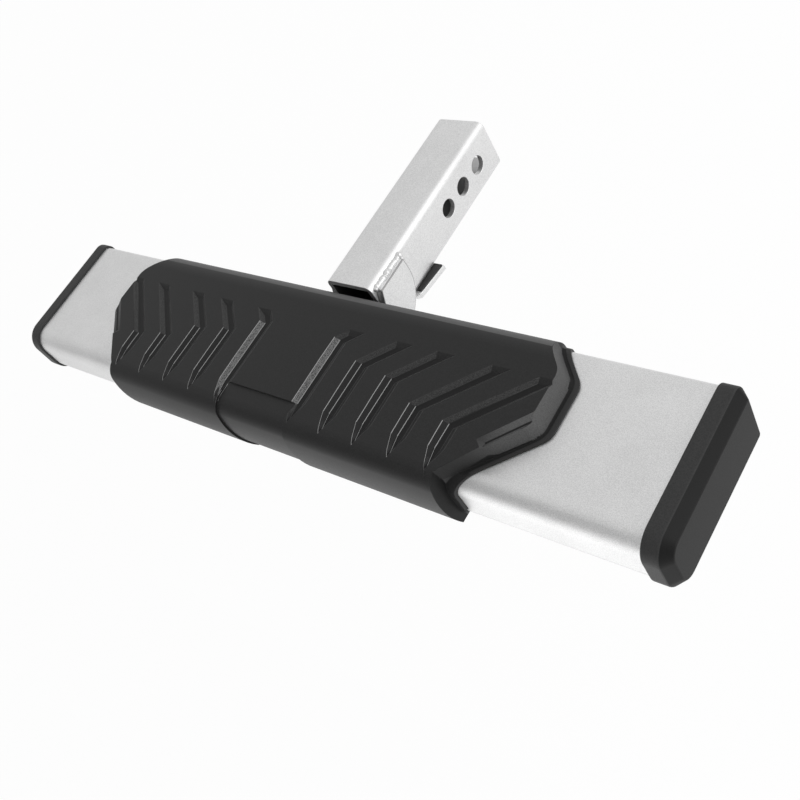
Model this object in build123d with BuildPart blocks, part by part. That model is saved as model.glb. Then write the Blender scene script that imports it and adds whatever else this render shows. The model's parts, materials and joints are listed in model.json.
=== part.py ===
from build123d import *
from math import sqrt
import os

os.makedirs("parts", exist_ok=True)

# Hitch receiver step: a capped step tube with a moulded tread pad, bolted to a bracket that is
# welded to a square draw tube. All lengths are millimetres. The origin is the centre of the
# middle pin hole, +Y points into the receiver, +Z is up and X runs along the step.

# Draw tube
shank_size = 50.0
shank_wall = 5.0
shank_corner = 6.5
shank_reach = 136.0
shank_tail = 26.6
pin_hole_diameter = 16.3
pin_hole_pitch = 25.4

# Step tube
tube_length = 656.0
tube_depth = 123.0
tube_height = 51.0
tube_front_corner = 16.0
tube_rear_corner = 7.0
tube_wall = 2.0
shank_gap = 10.5
shank_rise = 4.0

# End caps
cap_proud = 2.0
cap_rim = 12.0
cap_chamfer = 7.0
cap_skin = 3.0
cap_plug_depth = 22.0
cap_plug_wall = 2.5
cap_plug_clearance = 0.25
cap_rib_thickness = 2.5
cap_rib_spacing = 40.0

# Step pad: nearly flat deck, rounded nose, leaning ends and skirts that hook under the tube
pad_length = 470.0
crown_rise = 15.4
crown_radius = 3000.0
crown_line = -10.0
nose_reach = 13.1
nose_radius = 78.0
nose_height = 11.0
nose_roll = 16.0
rear_wall = 4.7
rear_roll = 25.8
hem_drop = 4.0
hem_radius = 7.0
hem_corner = 22.0
least_radius = 0.5
hook_reach = 20.0
skirt_front_length = 365.0
skirt_rear_length = 410.0
end_front_corner = -10.0
end_rear_corner = 34.0
end_corner_radius = 16.0
end_shoulder_radius = 60.0
end_cut = -60.0
end_rise = 20.0
end_lean = 7.6
cut_lean = 3.2
lip_width = 7.0
lip_front_width = 4.5
lip_thickness = 1.8
lip_gap = 3.0
lip_gap_floor = 0.5
pad_fit = 0.2
notch_clearance = 4.0
notch_rise = 6.0

# Tread: chevron grooves and a short end groove with sloping walls on each half, and a front panel
tread_depth = 2.6
tread_wall = 4.6
tread_rear = 26.0
chevron_start = 42.0
chevron_pitch = 33.3
chevron_width = 14.3
chevron_bends = (15.1, 0.1, -5.2, -20.7, -26.2)
chevron_bend_skew = 2.4
chevron_break = -45.5
chevron_tip = -65.0
end_groove_start = 203.5
end_groove_front = -34.6
end_groove_width = 10.4
end_groove_angle = 46.5
panel_width = 77.0
panel_edge = -46.0
panel_depth = 1.8

# Hollow underside of the pad
deck_skin = 3.0
web_pitch = 40.0
web_thickness = 3.0
end_wall = 12.0

# Bracket
plate_thickness = 6.0
plate_width = 96.0
plate_margin = 3.0
plate_corner = 10.0
gusset_thickness = 6.0
gusset_length = 39.5
right_gusset_drop = 7.0
left_gusset_drop = 11.5
gusset_relief = 5.0
gusset_relief_height = 13.0
gusset_back_height = 11.0
gusset_foot = 18.0
gusset_sweep = 42.0
weld_leg = 4.0

# Stop tab under the draw tube, with a thin strip on each wing
tab_setback = 66.0
tab_length = 36.0
tab_front_width = 56.0
tab_rear_width = 65.0
tab_thickness = 5.0
tab_corner = 5.0
strip_thickness = 1.5
strip_margin = 1.0
strip_clearance = 0.4

# Fasteners
bolt_diameter = 10.0
bolt_clearance = 0.5
bolt_head_flats = 17.0
bolt_head_height = 6.4
bolt_head_chamfer = 0.8
bolt_protrusion = 2.0
bolt_spacing_x = 68.0
bolt_inset = 33.5
washer_diameter = 20.0
washer_thickness = 2.0
spring_washer_diameter = 18.0
spring_washer_thickness = 2.5
spring_washer_gap = 2.0
nut_plate_width = 22.0
nut_plate_overhang = 14.0
nut_plate_thickness = 6.0
thread_clearance = 0.1
screw_diameter = 4.0
screw_head_diameter = 9.5
screw_head_height = 3.2
screw_head_rounding = 1.2
screw_grip = 9.0
screw_clearance = 0.6
screw_spacing_x = 220.0
screw_edge = 5.0

# Places worked out from the sizes above, measured from the centre of the step tube
bar_y = -shank_reach - shank_gap - tube_depth / 2
bar_z = -shank_rise
tube_front = -tube_depth / 2
tube_rear = tube_depth / 2
tube_top = tube_height / 2
tube_bottom = -tube_height / 2
shank_front = tube_rear + shank_gap
shank_side = shank_size / 2
shank_top = shank_rise + shank_size / 2
shank_bottom = shank_rise - shank_size / 2
pad_front = tube_front - nose_reach
pad_rear = tube_rear + rear_wall
pad_end = pad_length / 2
hem = tube_bottom - hem_drop
crown_top = tube_top + crown_rise
plate_bottom = tube_bottom - plate_thickness
plate_front = tube_front + hook_reach + plate_margin
plate_tail = shank_front + gusset_foot + plate_margin
screw_spacing_y = tube_depth - 2 * (hook_reach - screw_edge)
bolt_spacing_y = tube_depth - 2 * bolt_inset
clear_of_all = tube_length

bar_plan = Plane(origin=(0, bar_y, bar_z))
bar_end = Plane(origin=(0, bar_y, bar_z), x_dir=(0, 1, 0), z_dir=(1, 0, 0))


def crown_height(y, inset=0):
    """Return the height at y of the deck's crown, moved inwards by inset."""
    return crown_top - crown_radius + sqrt((crown_radius - inset) ** 2 - (y - crown_line) ** 2)


def tube_envelope(margin, station=0):
    """Return the step tube's outer section at a station along X, grown by margin."""
    with BuildSketch(bar_end.offset(station)) as envelope:
        Rectangle(tube_depth + 2 * margin, tube_height + 2 * margin)
        fillet(envelope.vertices().group_by(Axis.X)[0], max(tube_front_corner + margin, least_radius))
        fillet(envelope.vertices().group_by(Axis.X)[-1], max(tube_rear_corner + margin, least_radius))
    return envelope.sketch


def pad_section(inset):
    """Return the pad's outer section, moved inwards by inset."""
    crown = crown_radius - inset
    nose = nose_radius - inset
    bottom = hem + inset
    rear = pad_rear - inset
    crown_centre = Vector(crown_line, crown_top - crown_radius)
    nose_centre = Vector(pad_front + nose_radius, nose_height)
    between = nose_centre - crown_centre
    along = (crown**2 - nose**2 + between.length**2) / (2 * between.length)
    aside = sqrt(crown**2 - along**2)
    heading = between.normalized()
    shoulder = crown_centre + heading * along + Vector(-heading.Y, heading.X) * aside
    rear_shoulder = (rear, crown_height(rear, inset))
    hem_front = nose_centre.X - sqrt(nose**2 - (nose_height - bottom) ** 2)
    with BuildSketch(bar_end) as section:
        with BuildLine():
            ThreePointArc(rear_shoulder, (crown_line, crown_top - inset), shoulder)
            ThreePointArc(shoulder, (pad_front + inset, nose_height), (hem_front, bottom))
            Polyline((hem_front, bottom), (rear, bottom), rear_shoulder)
        make_face()
        corners = (
            (shoulder, nose_roll),
            (rear_shoulder, rear_roll),
            ((hem_front, bottom), hem_radius),
            ((rear, bottom), hem_radius),
        )
        for corner, radius in corners:
            rounding = max(radius - inset, least_radius)
            fillet(section.vertices().sort_by_distance(corner)[0], rounding)
    return section.sketch


def pad_outline(height, end_step=0, cut_step=0, skirt_step=0):
    """Return the pad's plan outline at a height, its ends, corner cuts and front skirt moved out."""
    end = pad_end + end_step
    front = skirt_front_length / 2 + skirt_step
    rear = skirt_rear_length / 2 + end_step
    with BuildSketch(bar_plan.offset(height)) as outline:
        with BuildLine():
            Polyline(
                (0, -tube_depth),
                (front, -tube_depth),
                (front, end_cut - cut_step),
                (end, end_front_corner),
                (end, end_rear_corner),
                (rear, pad_rear),
                (rear, tube_depth),
                (0, tube_depth),
            )
            mirror(about=Plane.YZ)
        make_face()
        fillet(outline.vertices().group_by(Axis.X)[0], end_corner_radius)
        fillet(outline.vertices().group_by(Axis.X)[-1], end_corner_radius)
        for shoulder in ((rear, pad_rear), (-rear, pad_rear)):
            fillet(outline.vertices().sort_by_distance(shoulder)[0], end_shoulder_radius)
    return outline.sketch


def groove_outline(level, centre, bend):
    """Return a chevron groove's outline at a level above its floor."""
    spread = tread_wall * (level / tread_depth - 1)
    half = chevron_width / 2 + spread
    rear = tread_rear + spread
    inner_bend = bend + chevron_bend_skew / 2
    outer_bend = bend - chevron_bend_skew / 2
    with BuildSketch(bar_plan.offset(crown_top - tread_depth + level)) as outline:
        with BuildLine():
            Polyline(
                (centre, chevron_tip - spread),
                (centre - half, chevron_break),
                (centre - half, inner_bend),
                (centre - half + rear - inner_bend, rear),
                (centre + half + rear - outer_bend, rear),
                (centre + half, outer_bend),
                (centre + half, chevron_break),
                close=True,
            )
        make_face()
    return outline.sketch.face()


def end_groove_outline(level):
    """Return the short end groove's outline at a level above its floor."""
    spread = tread_wall * (level / tread_depth - 1)
    with BuildSketch(bar_plan.offset(crown_top - tread_depth + level)) as outline:
        with Locations(Location((end_groove_start, end_groove_front), end_groove_angle)):
            with Locations((-spread, 0)):
                Rectangle(pad_end, end_groove_width + 2 * spread, align=(Align.MIN, Align.CENTER))
    return outline.sketch.face()


def gusset_outline(margin, drop):
    """Return the outline, grown by margin, of a gusset whose top lies drop below the draw tube's."""
    gusset_top = shank_top - drop
    gusset_rear = shank_front + gusset_length
    foot = (shank_front + gusset_foot, tube_bottom)
    back = (gusset_rear, gusset_back_height)
    with BuildSketch(bar_end.offset(shank_side)) as outline:
        with BuildLine():
            RadiusArc(foot, back, -gusset_sweep)
            Polyline(
                back,
                (gusset_rear, gusset_top),
                (shank_front + gusset_relief, gusset_top),
                (shank_front, gusset_top - gusset_relief_height),
                (shank_front, tube_bottom),
                foot,
            )
        make_face()
        if margin != 0:
            offset(amount=margin, kind=Kind.INTERSECTION, mode=Mode.REPLACE)
    return outline.sketch


def mirrored(piece):
    """Return the opposite hand of a piece."""
    with BuildPart() as twin:
        mirror(piece, about=Plane.YZ)
    return twin


# Draw tube with three pin holes through both side walls
with BuildPart() as draw_tube:
    with BuildSketch(Plane(origin=(0, -shank_reach, 0), x_dir=(1, 0, 0), z_dir=(0, 1, 0))):
        RectangleRounded(shank_size, shank_size, shank_corner)
        bore_size = shank_size - 2 * shank_wall
        RectangleRounded(bore_size, bore_size, shank_corner - shank_wall, mode=Mode.SUBTRACT)
    extrude(amount=shank_reach + pin_hole_pitch + shank_tail)
    with BuildSketch(Plane.YZ):
        with GridLocations(pin_hole_pitch, 0, 3, 1):
            Circle(pin_hole_diameter / 2)
    extrude(amount=shank_size, both=True, mode=Mode.SUBTRACT)

# Step tube with bolt holes and screw holes in its lower wall
with BuildPart() as step_tube:
    extrude(tube_envelope(0), amount=tube_length / 2, both=True)
    extrude(tube_envelope(-tube_wall), amount=tube_length / 2, both=True, mode=Mode.SUBTRACT)
    with BuildSketch(bar_plan.offset(tube_bottom)):
        with GridLocations(bolt_spacing_x, bolt_spacing_y, 2, 2):
            Circle(bolt_diameter / 2 + bolt_clearance)
        with GridLocations(screw_spacing_x, screw_spacing_y, 2, 2):
            Circle(screw_diameter / 2 + thread_clearance)
    extrude(amount=2 * tube_wall, mode=Mode.SUBTRACT)

# End caps: a chamfered rim over the tube's end and a ribbed plug inside it
plug_fit = -tube_wall - cap_plug_clearance
cap_length = cap_rim + cap_chamfer
with BuildPart() as right_end_cap:
    tube_mouth = tube_length / 2
    plug_start = tube_mouth - cap_plug_depth
    extrude(tube_envelope(cap_proud, tube_mouth), amount=cap_length)
    chamfer(right_end_cap.faces().sort_by(Axis.X)[-1].edges(), cap_chamfer)
    extrude(tube_envelope(plug_fit, plug_start), amount=cap_plug_depth)
    extrude(
        tube_envelope(plug_fit - cap_plug_wall, plug_start),
        amount=cap_plug_depth + cap_length - cap_skin,
        mode=Mode.SUBTRACT,
    )
    with BuildSketch(bar_end.offset(tube_mouth + cap_length - cap_skin)):
        with GridLocations(cap_rib_spacing, 0, 3, 1):
            Rectangle(cap_rib_thickness, tube_height + 2 * plug_fit - cap_plug_wall)
    extrude(amount=-cap_plug_depth)
left_end_cap = mirrored(right_end_cap.part)

# Tread grooves of the right half
with BuildPart() as groove_cutter:
    for number, bend in enumerate(chevron_bends):
        centre = chevron_start + number * chevron_pitch
        loft(
            sections=[groove_outline(0, centre, bend), groove_outline(2 * tread_depth, centre, bend)],
            ruled=True,
        )
    loft(sections=[end_groove_outline(0), end_groove_outline(2 * tread_depth)], ruled=True)

# Shallow panel in the middle, from the deck over the front roll to the hem
with BuildPart() as panel_cutter:
    with BuildSketch(bar_plan.offset(hem)):
        with Locations((0, panel_edge - tube_depth / 2)):
            Rectangle(panel_width, tube_depth)
    extrude(amount=clear_of_all)
    extrude(pad_section(panel_depth), amount=pad_end, both=True, mode=Mode.SUBTRACT)

# Envelope that shapes the pad's ends, leaning in above the tube, and the flat lip around them
with BuildPart() as end_envelope:
    extrude(pad_outline(tube_top), amount=-clear_of_all)
    loft(
        sections=[
            pad_outline(tube_top).face(),
            pad_outline(tube_top + end_rise, -end_lean, cut_lean).face(),
        ],
        ruled=True,
    )

with BuildPart() as pad_lip:
    extrude(tube_envelope(pad_fit + lip_thickness), amount=clear_of_all, both=True)
    lip_outline = pad_outline(0, lip_width, lip_front_width, lip_front_width)
    extrude(lip_outline, amount=clear_of_all, both=True, mode=Mode.INTERSECT)

# Narrow gap between the leaning ends and the lip, down to a thin floor on the tube
with BuildPart() as lip_gap_cutter:
    gap_outline = pad_outline(tube_top + pad_fit + lip_gap_floor, lip_gap, lip_gap, lip_gap)
    extrude(gap_outline, amount=clear_of_all)
    add(end_envelope.part, mode=Mode.SUBTRACT)

# What the front skirt's lower corners lose to their rounding, seen from the front
with BuildPart() as corner_cutter:
    lip_end = skirt_front_length / 2 + lip_front_width
    with BuildSketch(Plane(origin=(0, bar_y, bar_z), x_dir=(1, 0, 0), z_dir=(0, -1, 0))):
        with Locations((lip_end - hem_corner, hem)):
            Rectangle(pad_length, 2 * hem_corner, align=(Align.MIN, Align.CENTER))
        with Locations((lip_end - hem_corner, hem + hem_corner)):
            Circle(hem_corner, mode=Mode.SUBTRACT)
    extrude(amount=tube_depth)
    mirror(about=Plane.YZ)

# Hollow below the deck and behind the nose, crossed by webs
with BuildPart() as pad_hollow:
    extrude(pad_section(tread_depth + deck_skin), amount=clear_of_all, both=True)
    hollow_outline = pad_outline(0, -end_wall, 0, -end_wall)
    extrude(hollow_outline, amount=clear_of_all, both=True, mode=Mode.INTERSECT)
    with BuildSketch(bar_plan):
        with GridLocations(web_pitch, 0, 2 * int(pad_end / web_pitch) + 1, 1):
            Rectangle(web_thickness, 2 * tube_depth)
    extrude(amount=clear_of_all, both=True, mode=Mode.SUBTRACT)

# Step pad: one moulding, open under the tube and notched for the bracket
with BuildPart() as step_pad:
    extrude(pad_section(0), amount=clear_of_all, both=True)
    add(end_envelope.part, mode=Mode.INTERSECT)
    add(pad_lip.part)
    add(lip_gap_cutter.part, mode=Mode.SUBTRACT)
    add(groove_cutter.part, mode=Mode.SUBTRACT)
    mirror(groove_cutter.part, about=Plane.YZ, mode=Mode.SUBTRACT)
    add(panel_cutter.part, mode=Mode.SUBTRACT)
    add(corner_cutter.part, mode=Mode.SUBTRACT)
    extrude(tube_envelope(pad_fit), amount=clear_of_all, both=True, mode=Mode.SUBTRACT)
    add(pad_hollow.part, mode=Mode.SUBTRACT)
    with BuildSketch(bar_end):
        with Locations((0, hem)):
            Rectangle(tube_depth - 2 * hook_reach, 2 * hem_drop)
    extrude(amount=clear_of_all, both=True, mode=Mode.SUBTRACT)
    with BuildSketch(bar_plan.offset(tube_bottom + notch_rise)):
        with Locations((0, tube_depth / 2)):
            Rectangle(plate_width + 2 * notch_clearance, tube_depth)
    extrude(amount=-clear_of_all, mode=Mode.SUBTRACT)
    with BuildSketch(bar_plan.offset(hem)):
        with GridLocations(screw_spacing_x, screw_spacing_y, 2, 2):
            Circle((screw_diameter + screw_clearance) / 2)
    extrude(amount=2 * hem_drop, mode=Mode.SUBTRACT)

# Screws that hold the pad's hooks to the tube
with BuildPart() as pad_screws:
    with BuildSketch(bar_plan.offset(hem)):
        with GridLocations(screw_spacing_x, screw_spacing_y, 2, 2):
            Circle(screw_head_diameter / 2)
    extrude(amount=-screw_head_height)
    fillet(pad_screws.edges().group_by(Axis.Z)[0], screw_head_rounding)
    with BuildSketch(bar_plan.offset(hem)):
        with GridLocations(screw_spacing_x, screw_spacing_y, 2, 2):
            Circle(screw_diameter / 2)
    extrude(amount=hem_drop + tube_wall + screw_grip)


def gusset(drop):
    """Return a gusset on the draw tube's right side, its top drop below the draw tube's."""
    with BuildPart() as plate:
        extrude(gusset_outline(0, drop), amount=gusset_thickness)
    return plate


def gusset_weld(drop):
    """Return the bead round the edge of such a gusset on the draw tube."""
    with BuildPart() as bead:
        extrude(gusset_outline(weld_leg, drop), amount=weld_leg, taper=45)
        extrude(gusset_outline(weld_leg, drop), amount=-shank_wall / 2)
        add(gusset(drop).part, mode=Mode.SUBTRACT)
        add(draw_tube.part, mode=Mode.SUBTRACT)
        with BuildSketch(bar_end):
            with Locations((shank_front, shank_bottom + shank_corner)):
                Rectangle(tube_depth, tube_depth, align=(Align.MIN, Align.MIN))
        extrude(amount=clear_of_all, mode=Mode.INTERSECT)
    return bead


# Bracket: a base plate under the step tube and a gusset on each side of the draw tube
with BuildPart() as base_plate:
    with BuildSketch(bar_plan.offset(tube_bottom)):
        with Locations((0, (plate_front + plate_tail) / 2)):
            RectangleRounded(plate_width, plate_tail - plate_front, plate_corner)
        with GridLocations(bolt_spacing_x, bolt_spacing_y, 2, 2):
            Circle(bolt_diameter / 2 + bolt_clearance, mode=Mode.SUBTRACT)
    extrude(amount=-plate_thickness)

right_gusset = gusset(right_gusset_drop)
left_gusset = mirrored(gusset(left_gusset_drop).part)

# Weld beads: round each gusset's edge on the draw tube and along its foot on the base plate
right_gusset_weld = gusset_weld(right_gusset_drop)
left_gusset_weld = mirrored(gusset_weld(left_gusset_drop).part)

with BuildPart() as right_foot_weld:
    gusset_face = shank_side + gusset_thickness
    with BuildSketch(Plane(origin=(0, bar_y + shank_front, bar_z), x_dir=(1, 0, 0), z_dir=(0, -1, 0))):
        with BuildLine():
            Polyline(
                (gusset_face, tube_bottom),
                (gusset_face + weld_leg, tube_bottom),
                (gusset_face, tube_bottom + weld_leg),
                close=True,
            )
        make_face()
    extrude(amount=-gusset_foot)
left_foot_weld = mirrored(right_foot_weld.part)

# Stop tab welded under the draw tube
tab_front = -tab_setback - tab_length
with BuildPart() as stop_tab:
    with BuildSketch(Plane.XY.offset(-shank_side)) as tab_outline:
        with BuildLine():
            Polyline(
                (tab_rear_width / 2, -tab_setback),
                (tab_front_width / 2, tab_front),
                (-tab_front_width / 2, tab_front),
                (-tab_rear_width / 2, -tab_setback),
                close=True,
            )
        make_face()
        fillet(tab_outline.vertices().group_by(Axis.Y)[0], tab_corner)
    extrude(amount=-tab_thickness)

with BuildPart() as stop_tab_welds:
    bead_length = shank_size - 2 * shank_corner
    with BuildSketch(Plane.YZ.offset(-bead_length / 2)):
        for edge, toe in ((-tab_setback, weld_leg), (tab_front, -weld_leg)):
            with BuildLine():
                Polyline((edge, -shank_side), (edge + toe, -shank_side), (edge, -shank_side - weld_leg), close=True)
            make_face()
    extrude(amount=bead_length)

# Strips on the tab's wings, inner edge just clear of the draw tube's rounded corner
corner_drop = shank_corner - strip_thickness - strip_clearance
strip_inner = shank_side - shank_corner + sqrt(shank_corner**2 - corner_drop**2)
strip_front = tab_front + tab_corner
taper_per_length = (tab_rear_width - tab_front_width) / 2 / tab_length
with BuildPart() as right_tab_strip:
    with BuildSketch(Plane.XY.offset(-shank_side)):
        strip_rear = -tab_setback - strip_margin
        rear_outer = tab_rear_width / 2 - strip_margin
        with BuildLine():
            Polyline(
                (strip_inner, strip_rear),
                (rear_outer, strip_rear),
                (rear_outer - taper_per_length * (strip_rear - strip_front), strip_front),
                (strip_inner, strip_front),
                close=True,
            )
        make_face()
    extrude(amount=strip_thickness)
left_tab_strip = mirrored(right_tab_strip.part)

# Bracket bolts with their washers and the tapped plates inside the step tube
with BuildPart() as flat_washers:
    with BuildSketch(bar_plan.offset(plate_bottom)):
        with GridLocations(bolt_spacing_x, bolt_spacing_y, 2, 2):
            Circle(washer_diameter / 2)
            Circle(bolt_diameter / 2 + bolt_clearance, mode=Mode.SUBTRACT)
    extrude(amount=-washer_thickness)

spring_top = plate_bottom - washer_thickness
with BuildPart() as spring_washers:
    with BuildSketch(bar_plan.offset(spring_top)):
        with GridLocations(bolt_spacing_x, bolt_spacing_y, 2, 2):
            Circle(spring_washer_diameter / 2)
            Circle(bolt_diameter / 2 + bolt_clearance, mode=Mode.SUBTRACT)
            Rectangle(
                spring_washer_gap,
                spring_washer_diameter,
                align=(Align.CENTER, Align.MAX),
                mode=Mode.SUBTRACT,
            )
    extrude(amount=-spring_washer_thickness)

head_top = spring_top - spring_washer_thickness
with BuildPart() as bracket_bolts:
    with BuildSketch(bar_plan.offset(head_top)):
        with GridLocations(bolt_spacing_x, bolt_spacing_y, 2, 2):
            RegularPolygon(bolt_head_flats / sqrt(3), 6)
    extrude(amount=-bolt_head_height)
    chamfer(bracket_bolts.edges().group_by(Axis.Z)[0], bolt_head_chamfer)
    with BuildSketch(bar_plan.offset(head_top)):
        with GridLocations(bolt_spacing_x, bolt_spacing_y, 2, 2):
            Circle(bolt_diameter / 2)
    extrude(amount=tube_bottom + tube_wall + nut_plate_thickness + bolt_protrusion - head_top)

with BuildPart() as right_nut_plate:
    with BuildSketch(bar_plan.offset(tube_bottom + tube_wall)):
        with Locations((bolt_spacing_x / 2, 0)):
            Rectangle(nut_plate_width, bolt_spacing_y + 2 * nut_plate_overhang)
            with GridLocations(0, bolt_spacing_y, 1, 2):
                Circle(bolt_diameter / 2 + thread_clearance, mode=Mode.SUBTRACT)
    extrude(amount=nut_plate_thickness)
left_nut_plate = mirrored(right_nut_plate.part)

pieces = {
    "draw_tube": draw_tube,
    "step_tube": step_tube,
    "left_end_cap": left_end_cap,
    "right_end_cap": right_end_cap,
    "step_pad": step_pad,
    "pad_screws": pad_screws,
    "base_plate": base_plate,
    "left_gusset": left_gusset,
    "right_gusset": right_gusset,
    "left_gusset_weld": left_gusset_weld,
    "right_gusset_weld": right_gusset_weld,
    "left_foot_weld": left_foot_weld,
    "right_foot_weld": right_foot_weld,
    "stop_tab": stop_tab,
    "stop_tab_welds": stop_tab_welds,
    "left_tab_strip": left_tab_strip,
    "right_tab_strip": right_tab_strip,
    "flat_washers": flat_washers,
    "spring_washers": spring_washers,
    "bracket_bolts": bracket_bolts,
    "left_nut_plate": left_nut_plate,
    "right_nut_plate": right_nut_plate,
}
for name, piece in pieces.items():
    piece.part.label = name
    export_step(piece.part, f"parts/{name}.step")
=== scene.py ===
"""Studio scene of a hitch receiver step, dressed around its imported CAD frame.

Every length is in metres in the CAD frame: the origin is the middle pin hole, +Y points into
the receiver, +Z is up and X runs along the step.
"""

from __future__ import annotations

import json
import logging
import math
import random
from dataclasses import dataclass
from enum import Enum
from typing import Any, Mapping, Union

import bmesh
import bpy
from mathutils import Matrix, Vector

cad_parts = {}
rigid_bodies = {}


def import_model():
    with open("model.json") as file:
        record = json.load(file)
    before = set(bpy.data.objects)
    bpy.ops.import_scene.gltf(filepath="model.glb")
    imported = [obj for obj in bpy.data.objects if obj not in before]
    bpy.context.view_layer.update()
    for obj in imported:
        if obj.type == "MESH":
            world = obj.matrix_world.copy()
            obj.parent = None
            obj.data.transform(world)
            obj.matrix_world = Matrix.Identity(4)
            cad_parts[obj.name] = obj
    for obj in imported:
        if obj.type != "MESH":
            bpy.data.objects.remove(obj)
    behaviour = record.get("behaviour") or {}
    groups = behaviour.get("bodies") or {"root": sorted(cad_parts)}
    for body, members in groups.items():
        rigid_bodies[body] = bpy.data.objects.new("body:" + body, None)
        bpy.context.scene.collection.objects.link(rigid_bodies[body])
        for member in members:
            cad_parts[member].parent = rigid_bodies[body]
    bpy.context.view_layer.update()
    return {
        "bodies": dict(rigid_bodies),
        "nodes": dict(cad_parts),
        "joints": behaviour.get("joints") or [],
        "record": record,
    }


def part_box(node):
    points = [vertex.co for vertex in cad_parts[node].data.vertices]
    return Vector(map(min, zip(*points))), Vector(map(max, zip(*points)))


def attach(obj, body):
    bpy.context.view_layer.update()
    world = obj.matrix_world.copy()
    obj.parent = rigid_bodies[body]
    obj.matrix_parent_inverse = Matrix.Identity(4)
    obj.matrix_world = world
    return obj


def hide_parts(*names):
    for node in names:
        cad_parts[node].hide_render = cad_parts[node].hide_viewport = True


LOG = logging.getLogger("hitch_step")
MM = 0.001
BODY = "root"

# Where the step tube's centre lies in the frame, and the draw tube's half width
BAR_Y = -208.0 * MM
BAR_Z = -4.0 * MM
SHANK_SIDE = 25.0 * MM

# Number that the gussets' rounded edges carry where painted shade darkens them
EDGE_SHADE = "painted_edge_shade"

# Width over which a mask in a finish fades, and the distance of points that touch
SOFT = 0.3 * MM
TOUCH = 0.01 * MM

# Distance of points and angle in degrees of faces that a copied mesh has merged, and the
# least share of a normal along X on a bar's end
MERGE = 0.02 * MM
FLAT = 0.5
END_SHARE = 0.99

# Mean level of a noise
NOISE_MIDDLE = 0.5

# A lowest and a highest value, a place, a linear colour and what shader maths takes
Span = tuple[float, float]
Point = tuple[float, float, float]
Colour = tuple[float, float, float, float]
Operand = Union["Socket", float]


class Slot(Enum):
    """Material slots of the record."""

    SILVER = "silver_coat"
    WELD = "weld_silver"
    PAD = "pad_black"
    CAP = "cap_black"
    STRIP = "strip_black"
    ZINC = "zinc_steel"


class Hand(Enum):
    """Side of the step that a mirrored piece belongs to, as the sign of its X."""

    LEFT = -1
    RIGHT = 1

    @property
    def word(self) -> str:
        """Name of the side as it stands in node names."""
        return self.name.lower()


def grey(level: float) -> Colour:
    """Return an opaque neutral colour of one linear level."""
    return (level, level, level, 1.0)


# Shader graph


class Socket:
    """A shader value whose arithmetic adds Math nodes."""

    def __init__(self, graph: "ShaderGraph", link: bpy.types.NodeSocket | None) -> None:
        """Wrap an output socket of a graph, or none for a node that ends it."""
        self.graph = graph
        self.link = link

    def _math(self, operation: str, first: Operand, second: Operand) -> "Socket":
        """Add one Math node.

        Args:
            operation: Name of the Math node's operation.
            first: Value or socket of its first input.
            second: Value or socket of its second input.

        Returns:
            The node's result.
        """
        return self.graph.node("ShaderNodeMath", {"operation": operation}, {0: first, 1: second})

    def __add__(self, other: Operand) -> "Socket":
        """Return self + other."""
        return self._math("ADD", self, other)

    def __radd__(self, other: Operand) -> "Socket":
        """Return other + self."""
        return self._math("ADD", other, self)

    def __sub__(self, other: Operand) -> "Socket":
        """Return self - other."""
        return self._math("SUBTRACT", self, other)

    def __rsub__(self, other: Operand) -> "Socket":
        """Return other - self."""
        return self._math("SUBTRACT", other, self)

    def __mul__(self, other: Operand) -> "Socket":
        """Return self * other."""
        return self._math("MULTIPLY", self, other)

    def __rmul__(self, other: Operand) -> "Socket":
        """Return other * self."""
        return self._math("MULTIPLY", other, self)

    def __abs__(self) -> "Socket":
        """Return the absolute value."""
        return self._math("ABSOLUTE", self, 0.0)

    def largest(self, other: Operand) -> "Socket":
        """Return the larger of two values."""
        return self._math("MAXIMUM", self, other)

    def step(self, low: float, high: float) -> "Socket":
        """Return a smooth step.

        Args:
            low: Value up to which the step is 0.
            high: Value from which the step is 1.

        Returns:
            The step.
        """
        return self.graph.node(
            "ShaderNodeMapRange",
            {"interpolation_type": "SMOOTHSTEP"},
            {"Value": self, "From Min": low, "From Max": high, "To Min": 0.0, "To Max": 1.0},
        )


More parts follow.
